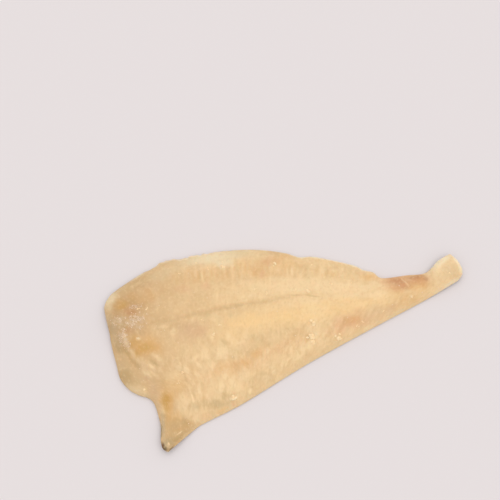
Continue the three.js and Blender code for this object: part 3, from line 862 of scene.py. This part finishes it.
def strayed(x, y):
    """Places moved to and fro a little, so that tints laid by them have uneven borders."""
    moved_x, moved_y = x, y
    for number, (cell, reach) in enumerate(STRAYS):
        moved_x = moved_x + reach * lattice_noise(x, y, cell, STRAY_X_SEED + number)
        moved_y = moved_y + reach * lattice_noise(x, y, cell, STRAY_Y_SEED + number)
    return moved_x, moved_y


def band_masks(grid, stray_across):
    """Bands of tint along the muscles, pink ones with their ribs."""
    ribs = 1 - RIB_TINT - RIB_TINT * rib_wave(grid.along, grid.across, grid.x, grid.y)
    for name, *limits, strength in BANDS:
        band = strength * fish_band(stray_across, grid.along, *limits)
        yield name, (band * ribs if name == "pink" else band)


def edge_masks(grid):
    """Ragged tinted edges, along one side or inside an oval."""
    along, across, x, y = grid.along, grid.across, grid.x, grid.y
    ragged = grid.rim + EDGE_RAG * lattice_noise(x, y, EDGE_RAG_CELL, EDGE_SEED)

    def near(width, fade):
        return 1 - smoothstep(ragged, width - fade / 2, width + fade / 2)

    for name, side, width, fade, start, end, end_fade, strength in EDGES:
        stretch = smoothstep(across * side, *EDGE_ACROSS) * plateau(along, start, end, end_fade)
        yield name, strength * near(width, fade) * stretch
    for name, width, fade, *place, strength in EDGE_SPOTS:
        yield name, strength * near(width, fade) * spot(oval_distance(x, y, *place))


def patch_masks(x, y, stray_x, stray_y):
    for name, patches in PATCHES.items():
        for *place, strength in patches:
            stray = min(1, place[3] / FULL_STRAY_WIDTH)
            patch = oval_distance(x + stray * (stray_x - x), y + stray * (stray_y - y), *place)
            yield name, strength * spot(patch)


def flap_masks(x, stray_x, stray_y):
    """The thin flap outside its crest, and the bare corner."""
    yield "flap", FLAP_TINT * (1 - smoothstep(from_crest(stray_x, stray_y), *FLAP_FADE))
    line_x, line_y, slope = CORNER_TINT_LINE
    above_line = stray_y - line_y - slope * (stray_x - line_x)
    corner = (1 - smoothstep(above_line, *CORNER_FADE)) * smoothstep(x, *CORNER_START_X)
    yield "corner", CORNER_TINT * corner


def muscle_masks(grid, stray_across):
    """Torn flakes, stripes and the groove of the lateral line."""
    along, across = grid.along, grid.across
    stripe = stripe_wave(along, across, grid.x, grid.y)
    for name, side, strength in (("chips", 1, CHIP_TINT), ("dents", -1, DENT_TINT)):
        yield name, strength * np.clip(side * grid.flakes, 0, 1)
        yield name, STRIPE_TINT * np.clip(side * stripe, 0, 1)
    groove_across = across + GROOVE_STRAY * (stray_across - across)
    from_line = np.abs(groove_across) * half_width(across, along)
    groove = through(GROOVE_TINT_ALONG, along) * bell(from_line / GROOVE_TINT_HALF_WIDTH)
    yield "groove", GROOVE_TINT * groove


def tint_masks(grid):
    """How strongly each tint shows at every vertex of the cut side."""
    x, y = grid.x, grid.y
    stray_x, stray_y = strayed(x, y)
    stray_across = grid.across + (stray_y - y) / half_width(grid.across, grid.along)
    masks = {name: np.zeros_like(x) for name in TINTS}
    # Painted shade: the tan tint darkens the head end, more so towards the left.
    masks["tan"] = through(HEAD_PAINTED_SHADE, stray_x - HEAD_PAINTED_SHADE_LEAN * (stray_y - HEAD_PAINTED_SHADE_Y))
    for name, mask in itertools.chain(
        band_masks(grid, stray_across),
        edge_masks(grid),
        patch_masks(x, y, stray_x, stray_y),
        flap_masks(x, stray_x, stray_y),
        muscle_masks(grid, stray_across),
    ):
        masks[name] = np.maximum(masks[name], mask)
    return masks


def centred(grid, centre):
    return np.stack([grid.x - centre[0], grid.y - centre[1], grid.z], axis=-1).reshape(-1, 3) * MM


def fish_places(grid):
    """Millimetres along the lateral line and out from it, for textures that follow the flakes."""
    out = grid.across * half_width(grid.across, grid.along)
    return np.stack([grid.along * LINE_LENGTH, out, np.zeros_like(out)], axis=-1).reshape(-1, 3)


def add_object(name, data):
    piece = bpy.data.objects.new(name, data)
    bpy.context.scene.collection.objects.link(piece)
    return piece


def mesh_object(name, vertices, faces, smooth):
    mesh = bpy.data.meshes.new(name)
    mesh.from_pydata(vertices.tolist(), [], faces.tolist())
    mesh.polygons.foreach_set("use_smooth", np.full(len(faces), smooth))
    mesh.update()
    return add_object(name, mesh)


def add_mask(mesh, name, values):
    attribute = mesh.attributes.new(name, "FLOAT", "POINT")
    attribute.data.foreach_set("value", values.astype(np.float32))


def add_uv_map(mesh, vertices, faces, flesh_count):
    """Flat map from plan to picture, the flesh above the skin."""
    plan = vertices[faces.ravel(), :2] / MM / UV_SPAN
    upper = np.repeat(np.arange(len(faces)) < flesh_count, 3)[:, None]
    middles = np.where(upper, UV_FLESH_MIDDLE, UV_SKIN_MIDDLE)
    mesh.uv_layers.new(name="OFBake").data.foreach_set("uv", (plan + middles).ravel())


def build_fillet(flesh, skin, masks, centre):
    flesh_numbers = np.arange(flesh.x.size).reshape(flesh.x.shape)
    skin_numbers = flesh.x.size + np.arange(skin.x.size).reshape(skin.x.shape)
    rim_rows = border_rows(flesh_numbers, flesh.along[:, 0], flesh.across[0])
    skin_rows = border_rows(skin_numbers, skin.shares, skin.rows)
    parts = [grid_faces(flesh_numbers, False), grid_faces(skin_numbers, True)]
    for (outer, outer_shares), (inner, inner_shares) in zip(rim_rows, skin_rows):
        parts.append(strip_faces(outer, outer_shares, inner, inner_shares))
    faces = np.concatenate(parts)
    vertices = np.concatenate([centred(flesh, centre), centred(skin, centre)])
    fillet = mesh_object("fillet_flesh", vertices, faces, True)
    add_uv_map(fillet.data, vertices, faces, len(parts[0]))
    for name, values in masks.items():
        below = np.full(skin.x.size, 1.0 if name == "skin" else 0.0)
        add_mask(fillet.data, name, np.concatenate([values.ravel(), below]))
    fish = fillet.data.attributes.new("fish", "FLOAT_VECTOR", "POINT")
    fish.data.foreach_set("vector", np.concatenate([fish_places(flesh), fish_places(skin)]).ravel())
    return fillet


def linear(colour):
    """Linear RGBA of a colour given as 0 to 255 display values."""
    channels = [((c / 255 + 0.055) / 1.055) ** 2.4 for c in colour]
    return (*channels, 1)


class Shading:
    """A material and the few kinds of node that the materials here are made of."""

    def __init__(self, name):
        self.material = bpy.data.materials.new(name)
        self.material.use_nodes = True
        self.nodes = self.material.node_tree.nodes
        self.link = self.material.node_tree.links.new
        self.shader = self.nodes["Principled BSDF"]

    def finished(self, finish):
        """The material, with values that are the same all over set on its shader."""
        for name, value in finish.items():
            self.shader.inputs[name].default_value = value
        return self.material

    def add(self, kind, values, links, **settings):
        """A new node with its settings, and with inputs set to values or linked to outputs."""
        node = self.nodes.new("ShaderNode" + kind)
        for name, value in settings.items():
            setattr(node, name, value)
        for name, value in values.items():
            node.inputs[name].default_value = value
        for name, output in links.items():
            self.link(output, node.inputs[name])
        return node

    def attribute(self, name, output):
        return self.add("Attribute", {}, {}, attribute_name=name).outputs[output]

    def fish_place(self, size, stretch=1, offset=0):
        """Place in units of a size in millimetres along the fish, and stretched out from its line."""
        values = {"Scale": (1 / size, 1 / (size * stretch), 1), "Location": (offset, offset, 0)}
        return self.add("Mapping", values, {"Vector": self.attribute("fish", "Vector")}).outputs["Vector"]

    def noise(self, size, detail, stretch=1, offset=0):
        """Noise from 0 to 1."""
        place = self.fish_place(size, stretch, offset)
        return self.add("TexNoise", {"Scale": 1, "Detail": detail}, {"Vector": place}).outputs["Fac"]

    def cells(self, size, offset):
        """Distance from the middle of scattered cells, in units of their size."""
        place = self.fish_place(size, offset=offset)
        return self.add("TexVoronoi", {"Scale": 1}, {"Vector": place}).outputs["Distance"]

    def ramp(self, value, low, high, to_low=0, to_high=1):
        limits = {"From Min": low, "From Max": high, "To Min": to_low, "To Max": to_high}
        return self.add("MapRange", limits, {"Value": value}).outputs["Result"]

    def times(self, first, second):
        return self.add("Math", {}, {0: first, 1: second}, operation="MULTIPLY").outputs["Value"]

    def tint(self, under, factor, colour):
        """A colour laid over another, which is a plain colour or a node's output."""
        values = {"B": linear(colour)}
        links = {"Factor": factor}
        if isinstance(under, tuple):
            values["A"] = linear(under)
        else:
            links["A"] = under
        return self.add("Mix", values, links, data_type="RGBA").outputs["Result"]

    def mottle(self, colour, layers, where=None):
        """Lays variation by noise over a colour, if need be only where a mask is."""
        for size, detail, stretch, shift, low, high, strength, tint in layers:
            factor = self.ramp(self.noise(size, detail, stretch, shift), low, high, 0, strength)
            if where is not None:
                factor = self.times(where, factor)
            colour = self.tint(colour, factor, tint)
        return colour

    def bump(self, height, depth, strength, under=None):
        links = {"Height": height} if under is None else {"Height": height, "Normal": under}
        return self.add("Bump", {"Distance": depth * MM, "Strength": strength}, links).outputs["Normal"]


def flesh_colour(shading):
    """Mottled flesh with its tints. The length of a tint's name shifts its breaks against the others'."""
    colour = shading.mottle(BASE_COLOUR, MOTTLES)
    for name, (tint, breakup, size, stretch) in TINTS.items():
        if name != "skin":
            noise = shading.noise(size, BREAK_DETAIL, stretch, len(name))
            breaks = shading.ramp(noise, *BREAK_RANGE, 1 - breakup, 1)
            colour = shading.tint(colour, shading.times(shading.attribute(name, "Fac"), breaks), tint)
    return shading.mottle(colour, SPECKLES)


def skin_colour(shading, colour):
    """Mottled brown skin with muted rust spots, laid over the colour where the skin shows."""
    skin = shading.attribute("skin", "Fac")
    colour = shading.tint(colour, skin, TINTS["skin"][0])
    colour = shading.mottle(colour, SKIN_MOTTLES, skin)
    for size, shift, low, high, to_low, to_high, tint in SKIN_CELLS:
        marks = shading.ramp(shading.cells(size, shift), low, high, to_low, to_high)
        colour = shading.tint(colour, shading.times(skin, marks), tint)
    return colour


def flesh_material():
    shading = Shading("frozen_flesh")
    inputs = shading.shader.inputs
    shading.link(skin_colour(shading, flesh_colour(shading)), inputs["Base Color"])
    size, detail, *limits = ROUGHNESS
    shading.link(shading.ramp(shading.noise(size, detail), *limits), inputs["Roughness"])
    normal = None
    for size, stretch, depth, strength in FINE_BUMPS:
        normal = shading.bump(shading.noise(size, FINE_BUMP_DETAIL, stretch), depth, strength, normal)
    shading.link(normal, inputs["Normal"])
    return shading.finished(FLESH_FINISH)


def cell_places(grid, centre, column, row, rng):
    """Random points inside the given cells of the flesh grid."""
    points = centred(grid, centre).reshape(*grid.x.shape, 3)
    share, side_share = rng.random((2, len(column), 1))
    near = points[column, row] * (1 - share) + points[column + 1, row] * share
    far = points[column, row + 1] * (1 - share) + points[column + 1, row + 1] * share
    return near * (1 - side_share) + far * side_share


def icosahedron():
    """Corners at a distance of 1 from the middle, and the twenty faces."""
    golden = (1 + math.sqrt(5)) / 2
    corners = np.array([
        (-1, golden, 0), (1, golden, 0), (-1, -golden, 0), (1, -golden, 0),
        (0, -1, golden), (0, 1, golden), (0, -1, -golden), (0, 1, -golden),
        (golden, 0, -1), (golden, 0, 1), (-golden, 0, -1), (-golden, 0, 1),
    ]) / math.hypot(1, golden)
    faces = np.array([
        (0, 11, 5), (0, 5, 1), (0, 1, 7), (0, 7, 10), (0, 10, 11), (1, 5, 9), (5, 11, 4), (11, 10, 2),
        (10, 7, 6), (7, 1, 8), (3, 9, 4), (3, 4, 2), (3, 2, 6), (3, 6, 8), (3, 8, 9), (4, 9, 5), (2, 4, 11),
        (6, 2, 10), (8, 6, 7), (9, 8, 1),
    ])
    return corners, faces


def lumps(places, sizes, flatness, rng):
    """One mesh of small uneven twenty-faced lumps, half sunk at the given places."""
    corners, facets = icosahedron()
    count = len(places)
    spins = np.linalg.qr(rng.normal(size=(count, 3, 3)))[0]
    spins = spins * np.sign(np.linalg.det(spins))[:, None, None]
    stretch = rng.uniform(*LUMP_STRETCH, (count, 1, 3)) * sizes[:, None, None]
    jitter = rng.uniform(*LUMP_JITTER, (count, len(corners), 1))
    shapes = np.einsum("nij,nkj->nki", spins, corners * stretch * jitter)
    vertices = places[:, None, :] + shapes * (1, 1, flatness) * MM
    faces = facets + len(corners) * np.arange(count)[:, None, None]
    return vertices.reshape(-1, 3), faces.reshape(-1, 3)


def build_frost(flesh, frost_mask, centre, rng):
    """Frost crystals, thick at the head end and stray elsewhere."""
    density = frost_mask[:-1, :-1] + STRAY_CRYSTALS
    cell_area = np.abs(np.diff(flesh.x, axis=0)[:, :-1] * np.diff(flesh.y, axis=1)[:-1])
    clump = lattice_noise(flesh.x, flesh.y, CRYSTAL_CLUMP, CLUMP_SEED)[:-1, :-1]
    weight = (density * cell_area * smoothstep(clump, *CLUMP_EDGE)).ravel()
    chosen = rng.choice(weight.size, CRYSTAL_COUNT, p=weight / weight.sum())
    column, row = np.unravel_index(chosen, density.shape)
    smallest, largest = CRYSTAL_SIZE
    sizes = smallest + (largest - smallest) * rng.random(CRYSTAL_COUNT) ** CRYSTAL_RARITY
    vertices, faces = lumps(cell_places(flesh, centre, column, row, rng), sizes, 1, rng)
    return mesh_object("frost_crystals", vertices, faces, False)


def build_flecks(flesh, centre, rng):
    """Flecks of ice, each a cluster of lumps."""
    x, y = flesh.x[:-1, :-1], flesh.y[:-1, :-1]
    cells = []
    for fleck_x, fleck_y, reach in ICE_FLECKS:
        for dx, dy in rng.normal(0, reach / FLECK_DEVIATIONS, (FLECK_LUMPS, 2)):
            cells.append(np.argmin((x - fleck_x - dx) ** 2 + (y - fleck_y - dy) ** 2))
    column, row = np.unravel_index(np.array(cells), x.shape)
    reaches = np.repeat([reach for _, _, reach in ICE_FLECKS], FLECK_LUMPS)
    sizes = rng.uniform(*LUMP_SIZE, len(cells)) * reaches
    vertices, faces = lumps(cell_places(flesh, centre, column, row, rng), sizes, FLECK_FLATNESS, rng)
    return mesh_object("ice_flecks", vertices, faces, True)


def ice_material(name, dark, pale):
    shading = Shading(name)
    place = shading.add("TexCoord", {}, {}).outputs["Object"]
    noise = shading.add("TexNoise", {"Scale": 1 / (ICE_GRAIN * MM)}, {"Vector": place}).outputs["Fac"]
    colour = shading.tint(dark, shading.ramp(noise, *ICE_GRAIN_RANGE), pale)
    shading.link(colour, shading.shader.inputs["Base Color"])
    return shading.finished(ICE_FINISH)


def floor_material():
    shading = Shading("pale_floor")
    return shading.finished(FLOOR_FINISH | {"Base Color": linear(FLOOR_COLOUR)})


def build_floor():
    half = FLOOR_SIZE / 2 * MM
    corners = np.array([(-half, -half, 0), (half, -half, 0), (half, half, 0), (-half, half, 0)])
    floor = mesh_object("floor", corners, np.array([(0, 1, 2, 3)]), False)
    floor.data.materials.append(floor_material())


def direction(azimuth, elevation):
    """Unit vector from the object to a camera or light. Azimuth 0 stands in front, looking along +Y."""
    turn, tilt = math.radians(azimuth), math.radians(elevation)
    return Vector((math.sin(turn) * math.cos(tilt), -math.cos(turn) * math.cos(tilt), math.sin(tilt)))


def build_camera():
    camera = add_object("camera", bpy.data.cameras.new("camera"))
    camera.data.lens = CAMERA_LENS
    camera.data.sensor_width = CAMERA_SENSOR
    back = direction(CAMERA_AZIMUTH, CAMERA_ELEVATION)
    camera.location = (Vector(CAMERA_TARGET) + back * CAMERA_DISTANCE) * MM
    camera.rotation_mode = "QUATERNION"
    camera.rotation_quaternion = (-back).to_track_quat("-Z", "Y")
    camera.data.clip_start = CAMERA_NEAR * MM
    bpy.context.scene.camera = camera


def build_lights():
    sun = add_object("soft_key", bpy.data.lights.new("soft_key", "SUN"))
    sun.data.energy = SUN_STRENGTH
    sun.data.angle = math.radians(SUN_SOFTNESS)
    sun.rotation_mode = "QUATERNION"
    sun.rotation_quaternion = direction(SUN_AZIMUTH, SUN_ELEVATION).to_track_quat("Z", "Y")
    world = bpy.data.worlds.new("studio")
    world.use_nodes = True
    background = world.node_tree.nodes["Background"]
    background.inputs["Color"].default_value = linear(WORLD_COLOUR)
    background.inputs["Strength"].default_value = WORLD_STRENGTH
    bpy.context.scene.world = world
    bpy.context.scene.view_settings.view_transform = "Standard"


def main():
    rng = np.random.default_rng(SEED)
    flesh = flesh_grid()
    skin = skin_grid()
    centre = [(plan.min() + plan.max()) / 2 for plan in (flesh.x, flesh.y)]
    masks = tint_masks(flesh)
    fillet = build_fillet(flesh, skin, masks, centre)
    fillet.data.materials.append(flesh_material())
    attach(fillet, "root")
    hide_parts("fillet")
    frost = build_frost(flesh, masks["frost"], centre, rng)
    frost.data.materials.append(ice_material("frost", *FROST_COLOURS))
    flecks = build_flecks(flesh, centre, rng)
    flecks.data.materials.append(ice_material("ice", *FLECK_COLOURS))
    for piece in (frost, flecks):
        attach(piece, "root")
    build_floor()
    build_camera()
    build_lights()


main()
